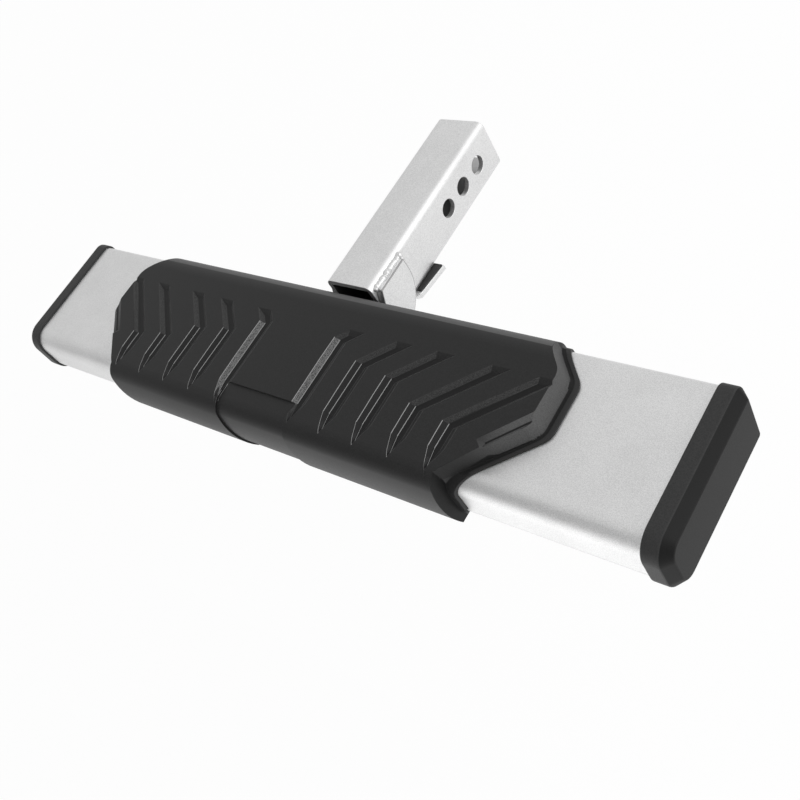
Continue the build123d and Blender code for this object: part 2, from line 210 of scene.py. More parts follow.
class ShaderGraph:
    """Node tree of one material, filled node by node."""

    def __init__(self, name: str) -> None:
        """Start a material with an empty tree.

        Args:
            name: Name of the material.
        """
        self.material = bpy.data.materials.new(name)
        self.material.use_nodes = True
        self.tree = self.material.node_tree
        self.tree.nodes.clear()

    def node(
        self,
        kind: str,
        settings: Mapping[str, Any] | None = None,
        inputs: Mapping[Union[str, int], Any] | None = None,
        output: Union[str, int] = 0,
    ) -> Socket:
        """Add a node.

        Args:
            kind: Type name of the node.
            settings: Attributes that are set first.
            inputs: Values or sockets by input name, identifier or index.
            output: Name, identifier or index of the output that is returned.

        Returns:
            The chosen output.
        """
        made = self.tree.nodes.new(kind)
        for key, value in (settings or {}).items():
            setattr(made, key, value)
        for key, value in (inputs or {}).items():
            socket = self._find(made.inputs, key)
            if isinstance(value, Socket):
                self.tree.links.new(value.link, socket)
            else:
                socket.default_value = value
        return Socket(self, self._find(made.outputs, output) if made.outputs else None)

    @staticmethod
    def _find(sockets: bpy.types.bpy_prop_collection, key: Union[str, int]) -> bpy.types.NodeSocket:
        """Return one of a node's sockets.

        Args:
            sockets: Inputs or outputs of the node.
            key: Index, identifier or name of the socket.

        Returns:
            The socket.
        """
        if isinstance(key, int):
            return sockets[key]
        for socket in sockets:
            if socket.identifier == key:
                return socket
        return sockets[key]

    def position(self) -> Socket:
        """Return the object coordinates."""
        return self.node("ShaderNodeTexCoord", output="Object")

    def attribute(self, name: str) -> Socket:
        """Return a number that the mesh carries under a name."""
        return self.node("ShaderNodeAttribute", {"attribute_name": name}, output="Fac")

    def axes(self, position: Socket) -> tuple[Socket, Socket, Socket]:
        """Return the three parts of a vector.

        Args:
            position: The vector.

        Returns:
            Its X, Y and Z.
        """
        parts = self.node("ShaderNodeSeparateXYZ", inputs={"Vector": position})
        outputs = parts.link.node.outputs
        return Socket(self, outputs["X"]), Socket(self, outputs["Y"]), Socket(self, outputs["Z"])

    def noise(self, position: Socket, scale: float, detail: float, roughness: float = 0.55) -> Socket:
        """Return noise of about 0 to 1.

        Args:
            position: Coordinates that the noise reads.
            scale: Cells to a metre.
            detail: Octaves.
            roughness: Share of each finer octave.

        Returns:
            The noise value.
        """
        return self.node(
            "ShaderNodeTexNoise",
            inputs={"Vector": position, "Scale": scale, "Detail": detail, "Roughness": roughness},
        )

    def mix(self, factor: Operand, first: Union[Socket, Colour], second: Union[Socket, Colour]) -> Socket:
        """Return a colour between two colours.

        Args:
            factor: Share of the second colour.
            first: Colour at a share of 0.
            second: Colour at a share of 1.

        Returns:
            The mixed colour.
        """
        return self.node(
            "ShaderNodeMix",
            {"data_type": "RGBA"},
            {"Factor_Float": factor, "A_Color": first, "B_Color": second},
            output="Result_Color",
        )

    def bump(self, height: Socket, distance: float, strength: float) -> Socket:
        """Return a normal bent by a height.

        Args:
            height: Height field of about 0 to 1.
            distance: Height in metres of a full step.
            strength: Share of the bend that is kept.

        Returns:
            The normal.
        """
        return self.node(
            "ShaderNodeBump",
            inputs={"Strength": strength, "Distance": distance, "Height": height},
            output="Normal",
        )

    def finish(self, inputs: Mapping[str, Any]) -> bpy.types.Material:
        """Close the tree with a Principled shader.

        Args:
            inputs: Values or sockets by the shader's input names.

        Returns:
            The material.
        """
        surface = self.node("ShaderNodeBsdfPrincipled", inputs=inputs)
        self.node("ShaderNodeOutputMaterial", inputs={"Surface": surface})
        return self.material


# Finishes


@dataclass(frozen=True)
class SilverCoat:
    """Silver coat with a fine bead-blasted grain, with painted shade inside the draw tube and on the
    gussets' edges.
    """

    name: str = "silver_coat"
    # Grey levels of the coat, of the painted shade inside the draw tube and the painted light near its
    # open end, and of the painted shade on the gussets' edges
    dark: float = 0.62
    light: float = 0.86
    bore: float = 0.11
    bore_mouth: float = 0.52
    seam: float = 0.3
    # Gloss and grain
    metallic: float = 0.8
    roughness: float = 0.42
    grain_scale: float = 1500.0
    drift_scale: float = 22.0
    octaves: float = 2.0
    grain_share: float = 0.8
    tone_span: Span = (0.25, 0.75)
    roughness_swing: float = 0.18
    grain_height: float = 0.06 * MM
    grain_bend: float = 0.35
    # Room inside the draw tube, and where painted light near its open end lightens its painted shade
    bore_half: float = 20.4 * MM
    bore_front: float = -140.0 * MM
    mouth_start: float = 22.0 * MM
    mouth_end: float = 40.0 * MM

    def material(self) -> bpy.types.Material:
        """Build the material.

        Returns:
            The material.
        """
        graph = ShaderGraph(self.name)
        place = graph.position()
        grain = graph.noise(place, self.grain_scale, self.octaves)
        drift = graph.noise(place, self.drift_scale, self.octaves)
        tone = (grain * self.grain_share + drift * (1.0 - self.grain_share)).step(*self.tone_span)
        coat = graph.mix(tone, grey(self.dark), grey(self.light))
        across, along, height = graph.axes(place)
        off_axis = abs(across).largest(abs(height))
        # Painted shade inside the draw tube, lightened by painted light towards its open end
        inside = (1.0 - off_axis.step(self.bore_half - SOFT, self.bore_half)) * along.step(
            self.bore_front - SOFT, self.bore_front
        )
        mouth = along.step(self.mouth_start, self.mouth_end)
        bore = graph.mix(mouth, grey(self.bore), grey(self.bore_mouth))
        colour = graph.mix(inside, coat, bore)
        # Painted shade along the gussets' rounded edges
        colour = graph.mix(graph.attribute(EDGE_SHADE), colour, grey(self.seam))
        return graph.finish(
            {
                "Base Color": colour,
                "Metallic": self.metallic,
                "Roughness": self.roughness + (grain - NOISE_MIDDLE) * self.roughness_swing,
                "Normal": graph.bump(grain, self.grain_height, self.grain_bend),
            }
        )


@dataclass(frozen=True)
class WeldMetal:
    """Bright coated weld metal with small pits."""

    name: str = "weld_silver"
    level: float = 0.8
    pit_share: float = 0.7
    pit_scale: float = 900.0
    pit_octaves: float = 4.0
    pit_fineness: float = 0.6
    pit_span: Span = (0.3, 0.6)
    pit_depth: float = 0.25 * MM
    pit_bend: float = 0.6
    metallic: float = 0.75
    roughness: float = 0.32
    roughness_swing: float = 0.15

    def material(self) -> bpy.types.Material:
        """Build the material.

        Returns:
            The material.
        """
        graph = ShaderGraph(self.name)
        place = graph.position()
        pits = graph.noise(place, self.pit_scale, self.pit_octaves, self.pit_fineness)
        colour = graph.mix(pits.step(*self.pit_span), grey(self.level * self.pit_share), grey(self.level))
        return graph.finish(
            {
                "Base Color": colour,
                "Metallic": self.metallic,
                "Roughness": self.roughness + pits * self.roughness_swing,
                "Normal": graph.bump(pits, self.pit_depth, self.pit_bend),
            }
        )


class Tread(Enum):
    """Numbers that the pad's mesh carries on its faces."""

    FLOOR = "tread_floor"
    HEEL = "rear_roll"
    LIP = "pad_lip"
    BAND = "end_band"
    ARM = "tread_arm"
    WALL = "tread_wall"
    RIM = "tread_rim"


@dataclass(frozen=True)
class MouldedPad:
    """Black moulded tread: fine grain on the deck, speckle on the groove walls and the end bands, and
    painted light and shade on the tread's parts.
    """

    name: str = "pad_black"
    # Grey levels of the tread's parts, with painted shade on the groove floors, and painted light and
    # highlights on the rear roll, the lip, the innermost walls, the edges and the end bands
    deck: float = 0.017
    # Painted shade in the groove floors and the skirt's hollow ends
    floor: float = 0.006
    # Painted light on the rear roll, which faces the light behind
    heel: float = 0.075
    # Painted highlight on the lip
    lip: float = 0.03
    arm: float = 0.055
    wall: float = 0.012
    # Painted light on the innermost groove walls, which face the light
    wall_inner_light: float = 0.22
    # Painted highlight along the groove edges
    rim: float = 0.32
    # Painted light on the end bands, which face the light at the ends
    band: float = 0.1
    band_front: float = 0.012
    # Distances from the middle between which the groove walls go from their painted light near the middle
    # to their plain level, and the end bands from their level near the front to their painted light at
    # the ends
    wall_span: Span = (52.0 * MM, 66.0 * MM)
    band_span: Span = (188.0 * MM, 222.0 * MM)
    # Gloss, grain and speckle
    specular: float = 0.22
    roughness: float = 0.5
    roughness_swing: float = 0.25
    roughness_coarse: float = 0.15
    grain_scale: float = 1400.0
    grain_octaves: float = 2.0
    grain_span: Span = (0.3, 0.7)
    grain_tones: Span = (0.75, 1.25)
    speckle_scale: float = 2000.0
    speckle_octaves: float = 1.0
    speckle_fineness: float = 0.4
    speckle_span: Span = (0.34, 0.66)
    speckle_height: float = 2.5
    band_speckle: float = 0.4
    grain_height: float = 0.1 * MM
    grain_bend: float = 0.45

    def material(self) -> bpy.types.Material:
        """Build the material.

        Returns:
            The material.
        """
        graph = ShaderGraph(self.name)
        place = graph.position()
        reach = abs(graph.axes(place)[0])
        grain = graph.noise(place, self.grain_scale, self.grain_octaves)
        speckle = graph.noise(place, self.speckle_scale, self.speckle_octaves, self.speckle_fineness)
        dots = speckle.step(*self.speckle_span)
        wall = graph.mix(reach.step(*self.wall_span), grey(self.wall_inner_light), grey(self.wall))
        band = graph.mix(reach.step(*self.band_span), grey(self.band_front), grey(self.band))
        tones = {
            Tread.FLOOR: grey(self.floor),
            Tread.HEEL: grey(self.heel),
            Tread.LIP: grey(self.lip),
            Tread.BAND: graph.mix(dots * self.band_speckle, band, grey(self.deck)),
            Tread.ARM: graph.mix(dots, grey(self.deck), grey(self.arm)),
            Tread.WALL: graph.mix(dots, grey(self.deck), wall),
            Tread.RIM: grey(self.rim),
        }
        shares = {part: graph.attribute(part.value) for part in tones}
        dark, light = (grey(self.deck * share) for share in self.grain_tones)
        colour = graph.mix(grain.step(*self.grain_span), dark, light)
        for part, tone in tones.items():
            colour = graph.mix(shares[part], colour, tone)
        coarse = shares[Tread.WALL].largest(shares[Tread.BAND])
        surface = grain * (1.0 - coarse) + speckle * self.speckle_height * coarse
        return graph.finish(
            {
                "Base Color": colour,
                "Roughness": self.roughness
                + (grain - NOISE_MIDDLE) * self.roughness_swing
                + coarse * self.roughness_coarse,
                "Specular IOR Level": self.specular,
                "Normal": graph.bump(surface, self.grain_height, self.grain_bend),
            }
        )


@dataclass(frozen=True)
class CapPlastic:
    """Black cap plastic with a fine texture, with painted light on the rim and painted shade on the
    chamfer, so it is lightest on the rim and darkest on the chamfer.
    """

    name: str = "cap_black"
    # Grey levels of the cap's parts: painted light on the rim and painted shade on the chamfer
    rim: float = 0.042
    face: float = 0.008
    chamfer: float = 0.003
    specular: float = 0.16
    roughness: float = 0.48
    roughness_swing: float = 0.2
    # Distances from the middle between which the end face and the chamfer begin
    face_span: Span = (346.4 * MM, 346.8 * MM)
    rim_span: Span = (340.0 * MM, 340.6 * MM)
    grain_scale: float = 1300.0
    grain_octaves: float = 2.0
    grain_span: Span = (0.3, 0.7)
    grain_share: float = 0.35
    grain_tone: float = 1.3
    grain_height: float = 0.1 * MM
    grain_bend: float = 0.4

    def material(self) -> bpy.types.Material:
        """Build the material.

        Returns:
            The material.
        """
        graph = ShaderGraph(self.name)
        place = graph.position()
        reach = abs(graph.axes(place)[0])
        grain = graph.noise(place, self.grain_scale, self.grain_octaves)
        on_face = reach.step(*self.face_span)
        off_rim = reach.step(*self.rim_span)
        base = graph.mix(off_rim, grey(self.rim), grey(self.chamfer))
        base = graph.mix(on_face, base, grey(self.face))
        spots = grain.step(*self.grain_span) * self.grain_share
        colour = graph.mix(spots, base, grey(self.face * self.grain_tone))
        return graph.finish(
            {
                "Base Color": colour,
                "Roughness": self.roughness + (grain - NOISE_MIDDLE) * self.roughness_swing,
                "Specular IOR Level": self.specular,
                "Normal": graph.bump(grain, self.grain_height, self.grain_bend),
            }
        )


@dataclass(frozen=True)
class DullStrip:
    """Dull black strip on the stop tab."""

    name: str = "strip_black"
    level: float = 0.02
    tones: Span = (0.7, 1.3)
    roughness: float = 0.62
    grain_scale: float = 1100.0
    grain_octaves: float = 2.0
    grain_height: float = 0.08 * MM
    grain_bend: float = 0.4

    def material(self) -> bpy.types.Material:
        """Build the material.

        Returns:
            The material.
        """
        graph = ShaderGraph(self.name)
        grain = graph.noise(graph.position(), self.grain_scale, self.grain_octaves)
        dark, light = (grey(self.level * share) for share in self.tones)
        return graph.finish(
            {
                "Base Color": graph.mix(grain, dark, light),
                "Roughness": self.roughness,
                "Normal": graph.bump(grain, self.grain_height, self.grain_bend),
            }
        )


@dataclass(frozen=True)
class ZincPlate:
    """Zinc plated fastener steel with a faint warm drift."""

    name: str = "zinc_steel"
    warm: Colour = (0.52, 0.5, 0.45, 1.0)
    plain: Colour = (0.66, 0.66, 0.64, 1.0)
    metallic: float = 1.0
    roughness: float = 0.32
    roughness_swing: float = 0.12
    drift_scale: float = 160.0
    drift_octaves: float = 3.0
    drift_span: Span = (0.3, 0.7)
    grain_scale: float = 2200.0
    grain_octaves: float = 2.0
    grain_height: float = 0.03 * MM
    grain_bend: float = 0.3

    def material(self) -> bpy.types.Material:
        """Build the material.

        Returns:
            The material.
        """
        graph = ShaderGraph(self.name)
        place = graph.position()
        drift = graph.noise(place, self.drift_scale, self.drift_octaves)
        grain = graph.noise(place, self.grain_scale, self.grain_octaves)
        colour = graph.mix(drift.step(*self.drift_span), self.warm, self.plain)
        return graph.finish(
            {
                "Base Color": colour,
                "Metallic": self.metallic,
                "Roughness": self.roughness + drift * self.roughness_swing,
                "Normal": graph.bump(grain, self.grain_height, self.grain_bend),
            }
        )


class Finishes:
    """One material for each slot of the record."""

    def __init__(self) -> None:
        """Build all the materials."""
        makers = {
            Slot.SILVER: SilverCoat(),
            Slot.WELD: WeldMetal(),
            Slot.PAD: MouldedPad(),
            Slot.CAP: CapPlastic(),
            Slot.STRIP: DullStrip(),
            Slot.ZINC: ZincPlate(),
        }
        self.materials = {slot: maker.material() for slot, maker in makers.items()}

    def dress(self, piece: bpy.types.Object, slot: Slot) -> None:
        """Put a slot's material on a piece."""
        piece.data.materials.clear()
        piece.data.materials.append(self.materials[slot])


# Mesh helpers


def bevel(
    mesh: bmesh.types.BMesh,
    edges: list[bmesh.types.BMEdge],
    width: float,
    segments: int,
    clamp: bool = True,
) -> list[bmesh.types.BMFace]:
    """Bevel edges by one width.

    Args:
        mesh: Mesh that is changed.
        edges: Edges that are bevelled.
        width: Width of the bevel on each side.
        segments: Steps of the bevel.
        clamp: Whether bevels stop before they meet.

    Returns:
        The new faces.
    """
    made = bmesh.ops.bevel(
        mesh,
        geom=edges,
        offset=width,
        offset_type="OFFSET",
        affect="EDGES",
        segments=segments,
        profile=0.5,
        material=-1,
        clamp_overlap=clamp,
    )
    return made["faces"]


def soften(
    mesh: bmesh.types.BMesh, radius: float, angle: float, segments: int
) -> list[bmesh.types.BMFace]:
    """Round the sharp edges of a mesh.

    Args:
        mesh: Mesh that is changed.
        radius: Width of the rounding.
        angle: Least angle in degrees between the faces of a sharp edge.
        segments: Steps of the rounding.

    Returns:
        The faces of the roundings.
    """
    sharp = [
        edge
        for edge in mesh.edges
        if edge.is_manifold and edge.calc_face_angle() > math.radians(angle)
    ]
    return bevel(mesh, sharp, radius, segments, clamp=False)


def rounded_bar(low: Vector, high: Vector, front: float, rear: float, segments: int) -> bmesh.types.BMesh:
    """Return a solid bar along X with its long edges rounded.

    Args:
        low: Lowest corner of the bar's box.
        high: Highest corner of the bar's box.
        front: Radius of the two long edges at the least Y.
        rear: Radius of the two long edges at the greatest Y.
        segments: Steps of each rounding.

    Returns:
        A new mesh.
    """
    mesh = bmesh.new()
    bmesh.ops.create_cube(mesh, size=1.0)
    bmesh.ops.scale(mesh, vec=high - low, verts=mesh.verts)
    bmesh.ops.translate(mesh, vec=(low + high) / 2, verts=mesh.verts)
    for side, radius in ((low.y, front), (high.y, rear)):
        long_edges = [
            edge
            for edge in mesh.edges
            if all(abs(vert.co.y - side) < TOUCH for vert in edge.verts)
            and abs(edge.verts[0].co.x - edge.verts[1].co.x) > (high.x - low.x) / 2
        ]
        bevel(mesh, long_edges, radius, segments)
    return mesh


def end_faces(mesh: bmesh.types.BMesh) -> list[bmesh.types.BMFace]:
    """Return the faces that close the two ends of a bar along X."""
    return [face for face in mesh.faces if abs(face.normal.x) > END_SHARE]


class Workshop:
    """Turns meshes into finished pieces that ride on the frame."""

    def __init__(self, frame: Mapping[str, Any], finishes: Finishes) -> None:
        """Keep the loaded frame and the materials."""
        self.nodes: Mapping[str, bpy.types.Object] = frame["nodes"]
        self.finishes = finishes

    def copy_of(self, node: str) -> bmesh.types.BMesh:
        """Return a clean copy of a CAD node's mesh.

        Args:
            node: Name of the CAD node.

        Returns:
            A new mesh with its doubles merged and its flat triangles joined.
        """
        mesh = bmesh.new()
        mesh.from_mesh(self.nodes[node].data)
        bmesh.ops.remove_doubles(mesh, verts=mesh.verts, dist=MERGE)
        bmesh.ops.dissolve_limit(mesh, angle_limit=math.radians(FLAT), verts=mesh.verts, edges=mesh.edges)
        return mesh

    def place(
        self,
        mesh: bmesh.types.BMesh,
        name: str,
        node: str,
        slot: Slot,
        smooth_angle: float = 50.0,
    ) -> None:
        """Make a finished piece of a mesh in place of a CAD node.

        Args:
            mesh: Mesh of the piece, which is freed.
            name: Name of the piece.
            node: CAD node that the piece stands for.
            slot: Material slot that it takes its finish from.
            smooth_angle: Edges sharper than this many degrees stay sharp.
        """
        data = bpy.data.meshes.new(name)
        mesh.to_mesh(data)
        mesh.free()
        data.shade_smooth()
        data.set_sharp_from_angle(angle=math.radians(smooth_angle))
        piece = bpy.data.objects.new(name, data)
        bpy.context.scene.collection.objects.link(piece)
        weighted = piece.modifiers.new("even_normals", "WEIGHTED_NORMAL")
        weighted.keep_sharp = True
        self.finishes.dress(piece, slot)
        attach(piece, BODY)
        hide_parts(node)
        LOG.info("%s: %d faces in place of %s", name, len(data.polygons), node)

    def dress_node(self, node: str, slot: Slot) -> None:
        """Keep a CAD node as it is, with a better material."""
        self.finishes.dress(self.nodes[node], slot)
        LOG.info("%s: kept, with the finish %s", node, slot.value)


# Sub-assemblies


@dataclass
class StepTube:
    """The silver cross tube under the pad, open inside."""

    front_corner: float = 16.0 * MM
    rear_corner: float = 7.0 * MM
    wall: float = 2.0 * MM
    segments: int = 16

    def build(self, workshop: Workshop) -> None:
        """Build the tube as a thin shell and place it.

        Args:
            workshop: Where pieces are finished.
        """
        low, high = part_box("step_tube")
        mesh = rounded_bar(low, high, self.front_corner, self.rear_corner, self.segments)
        bmesh.ops.delete(mesh, geom=end_faces(mesh), context="FACES_ONLY")
        bmesh.ops.solidify(mesh, geom=mesh.faces[:], thickness=self.wall)
        bmesh.ops.recalc_face_normals(mesh, faces=mesh.faces[:])
        workshop.place(mesh, "cross_tube", "step_tube", Slot.SILVER)


@dataclass
class EndCaps:
    """The black caps over the ends of the step tube."""

    front_corner: float = 18.0 * MM
    rear_corner: float = 9.0 * MM
    segments: int = 14
    chamfer: float = 7.0 * MM
    edge: float = 0.9 * MM
    edge_angle: float = 30.0
    edge_segments: int = 3
    plug_depth: float = 22.0 * MM
    plug_step: float = 4.25 * MM

    def build(self, workshop: Workshop) -> None:
        """Build both caps and place them."""
        for hand in Hand:
            self._build_one(workshop, hand)

    def _build_one(self, workshop: Workshop, hand: Hand) -> None:
        """Build one cap: a rounded rim with a chamfered end and a plug behind it.

        Args:
            workshop: Where pieces are finished.
            hand: Side of the step.
        """
        node = f"{hand.word}_end_cap"
        low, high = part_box(node)
        if hand is Hand.RIGHT:
            low.x += self.plug_depth
        else:
            high.x -= self.plug_depth
        mesh = rounded_bar(low, high, self.front_corner, self.rear_corner, self.segments)
        inner, outer = sorted(end_faces(mesh), key=lambda face: face.calc_center_median().x * hand.value)
        bevel(mesh, list(outer.edges), self.chamfer, segments=1)
        bmesh.ops.inset_region(mesh, faces=[inner], thickness=self.plug_step, use_even_offset=True)
        grown = bmesh.ops.extrude_face_region(mesh, geom=[inner])
        moved = [item for item in grown["geom"] if isinstance(item, bmesh.types.BMVert)]
        bmesh.ops.translate(mesh, vec=(-hand.value * self.plug_depth, 0, 0), verts=moved)
        bmesh.ops.delete(mesh, geom=[inner], context="FACES_ONLY")
        soften(mesh, self.edge, self.edge_angle, self.edge_segments)
        bmesh.ops.recalc_face_normals(mesh, faces=mesh.faces[:])
        workshop.place(mesh, f"{hand.word}_cap_moulding", node, Slot.CAP)


@dataclass
class TreadPad:
    """The black tread pad with its edges softened and the parts of its tread told apart."""

    # Rounding of the edges, and the angles in degrees from which an edge is rounded or shaded sharp
    edge: float = 0.3 * MM
    edge_segments: int = 2
    least_angle: float = 20.0
    smooth_angle: float = 32.0
    # Heights that part the deck, the groove floors, the end bands, the rear roll and the lip
    deck_low: float = 33.5 * MM
    floor_high: float = 34.9 * MM
    band_low: float = 20.0 * MM
    band_crest: float = 27.0 * MM
    heel_low: float = 24.0 * MM
    lip_span: Span = (22.9 * MM, 24.4 * MM)
    # Parts of a face's normal along Z
    wall_tilt: Span = (0.75, 0.93)
    band_tilt: Span = (-0.3, 0.6)
    level_tilt: float = 0.985
    rim_tilt: float = 0.9
    lip_tilt: float = 0.6
    # Parts of a face's normal along X, and along Y for the rear roll
    wall_turn: float = 0.2
    rim_turn: float = 0.08
    end_turn: float = 0.8
    heel_turn: float = 0.48
    # Least product of the parts along X and Y on a groove's rear arm
    arm_lean: float = 0.004
    # Distances from the middle that bound the tips, the panel, the short end grooves and the edges with
    # painted highlights
    tip_side: float = 55.0 * MM
    panel_half: float = 39.0 * MM
    short_side: float = 195.0 * MM
    rim_reach: float = 186.0 * MM
    # Places along Y that bound the tips, the short end grooves, the light edges and the skirt's ends
    tip_start: float = -254.0 * MM
    short_rear: float = -208.0 * MM
    rim_rear: float = -188.0 * MM
    end_rear: float = -255.0 * MM
    # Shares of the full tone: the faint painted highlight on the rear arms' edges, and what faces that
    # look left, away from the light, keep, which leaves them in painted shade
    arm_highlight_share: float = 0.08
    left_shade_share: float = 0.1

    def build(self, workshop: Workshop) -> None:
        """Soften a copy of the moulding, mark its faces and place it.

        Args:
            workshop: Where pieces are finished.
        """
        mesh = workshop.copy_of("step_pad")
        layers = {part: mesh.faces.layers.float.new(part.value) for part in Tread}
        rounded = soften(mesh, self.edge, self.least_angle, self.edge_segments)
        self._settle(mesh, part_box("step_pad")[1].z)
        mesh.normal_update()
        for face in mesh.faces:
            part = self._part_of(face)
            if part is not None:
                # Walls that look left, away from the light, keep only a share of their tone: painted
                # shade
                shaded = part is Tread.WALL and face.normal.x < 0.0
                face[layers[part]] = self.left_shade_share if shaded else 1.0
        # Rounded edges along the grooves carry a painted highlight line in place of their part's tone
        for face in rounded:
            if self._on_tread(face):
                for layer in layers.values():
                    face[layer] = 0.0
                face[layers[Tread.RIM]] = self._edge_highlight_of(face)
        workshop.place(mesh, "tread_moulding", "step_pad", Slot.PAD, self.smooth_angle)

    @staticmethod
    def _settle(mesh: bmesh.types.BMesh, top: float) -> None:
        """Draw the points that a rounding threw above the deck back among their neighbours.

        Args:
            mesh: Mesh that is changed.
            top: Height of the deck's highest point.
        """
        stray = {vert for vert in mesh.verts if vert.co.z > top + TOUCH}
        for vert in stray:
            near = [edge.other_vert(vert) for edge in vert.link_edges]
            kept = [other.co for other in near if other not in stray]
            if kept:
                vert.co = sum(kept, Vector()) / len(kept)

    def _on_tread(self, face: bmesh.types.BMFace) -> bool:
        """Tell whether a rounding's face lies along a groove in the deck.

        Args:
            face: Face of a rounding.

        Returns:
            True on a groove's edge.
        """
        place = face.calc_center_median()
        return (
            place.z > self.deck_low
            and place.y < self.rim_rear
            and abs(place.x) < self.rim_reach
            and face.normal.z > self.rim_tilt
            and abs(face.normal.x) > self.rim_turn
        )

    def _edge_highlight_of(self, face: bmesh.types.BMFace) -> float:
        """Return the painted highlight of a groove's edge: most along the front arms on the side of the
        light.
        """
        highlight = self.arm_highlight_share if self._on_arm(face) else 1.0
        return highlight if face.normal.x > 0.0 else highlight * self.left_shade_share

    def _on_arm(self, face: bmesh.types.BMFace) -> bool:
        """Tell whether a groove's face lies along its rear arm or, right of the panel, its tip.

        Args:
            face: Face of a groove's wall or edge.

        Returns:
            True on a rear arm or such a tip.
        """
        place = face.calc_center_median()
        if place.y < self.tip_start:
            return 0.0 < place.x < self.tip_side
        return face.normal.x * face.normal.y * math.copysign(1.0, place.x) < -self.arm_lean

    def _part_of(self, face: bmesh.types.BMFace) -> Tread | None:
        """Return the part of the tread that a face belongs to.

        Args:
            face: Face of the moulding.

        Returns:
            The part, or none for the plain deck.
        """
        place = face.calc_center_median()
        height, tilt, across = place.z, face.normal.z, abs(face.normal.x)
        sloping = self.wall_tilt[0] < tilt < self.wall_tilt[1] and across > self.wall_turn
        if sloping and height > self.deck_low:
            if abs(place.x) > self.short_side and place.y < self.short_rear:
                return Tread.BAND
            return Tread.ARM if self._on_arm(face) else Tread.WALL
        # Sunk groove floors take the floor tone's painted shade
        sunk = self.deck_low < height < self.floor_high and tilt > self.level_tilt
        if sunk and abs(place.x) > self.panel_half:
            return Tread.FLOOR
        # The rear roll takes the heel tone's painted light
        if face.normal.y > self.heel_turn and height > self.heel_low and across < self.wall_turn:
            return Tread.HEEL
        # The lip takes a painted highlight
        if self.lip_span[0] < height < self.lip_span[1] and tilt > self.lip_tilt:
            return Tread.LIP
        leaning = self.band_tilt[0] < tilt < self.band_tilt[1] and across > self.wall_turn
        crest = max(vert.co.z for vert in face.verts)
        if leaning and height > self.band_low and crest > self.band_crest:
            return Tread.BAND
        # The skirt's hollow ends take the same painted shade
        if across > self.end_turn and height < self.band_low and place.y < self.end_rear:
            return Tread.FLOOR
        return None


@dataclass
class SteelWork:
    """Draw tube, gussets, base plate and stop tab with their cut edges softened."""

    tube_edge: float = 0.5 * MM
    plate_edge: float = 0.5 * MM
    gusset_edge: float = 1.0 * MM
    strip_edge: float = 0.3 * MM
    sharp_angle: float = 40.0
    edge_segments: int = 2
    # Nodes whose rounded edges are darkened by painted shade
    edge_shaded: tuple[str, ...] = ("left_gusset", "right_gusset")

    def build(self, workshop: Workshop) -> None:
        """Soften copies of the steel nodes and place them.

        Args:
            workshop: Where pieces are finished.
        """
        radii = {
            "draw_tube": self.tube_edge,
            "left_gusset": self.gusset_edge,
            "right_gusset": self.gusset_edge,
            "base_plate": self.plate_edge,
            "stop_tab": self.plate_edge,
        }
        for node, radius in radii.items():
            mesh = workshop.copy_of(node)
            seam = mesh.faces.layers.float.new(EDGE_SHADE)
            # The gussets' rounded edges carry painted shade
            for face in soften(mesh, radius, self.sharp_angle, self.edge_segments):
                face[seam] = float(node in self.edge_shaded)
            workshop.place(mesh, f"{node}_steel", node, Slot.SILVER)
        for hand in Hand:
            mesh = workshop.copy_of(f"{hand.word}_tab_strip")
            soften(mesh, self.strip_edge, self.sharp_angle, self.edge_segments)
            workshop.place(mesh, f"{hand.word}_tab_facing", f"{hand.word}_tab_strip", Slot.STRIP)


@dataclass
class Hardware:
    """Bolts, washers, screws and nut plates below the step."""

    nodes: tuple[str, ...] = (
        "bracket_bolts",
        "flat_washers",
        "spring_washers",
        "pad_screws",
        "left_nut_plate",
        "right_nut_plate",
    )

    def build(self, workshop: Workshop) -> None:
        """Dress the fastener nodes."""
        for node in self.nodes:
            workshop.dress_node(node, Slot.ZINC)


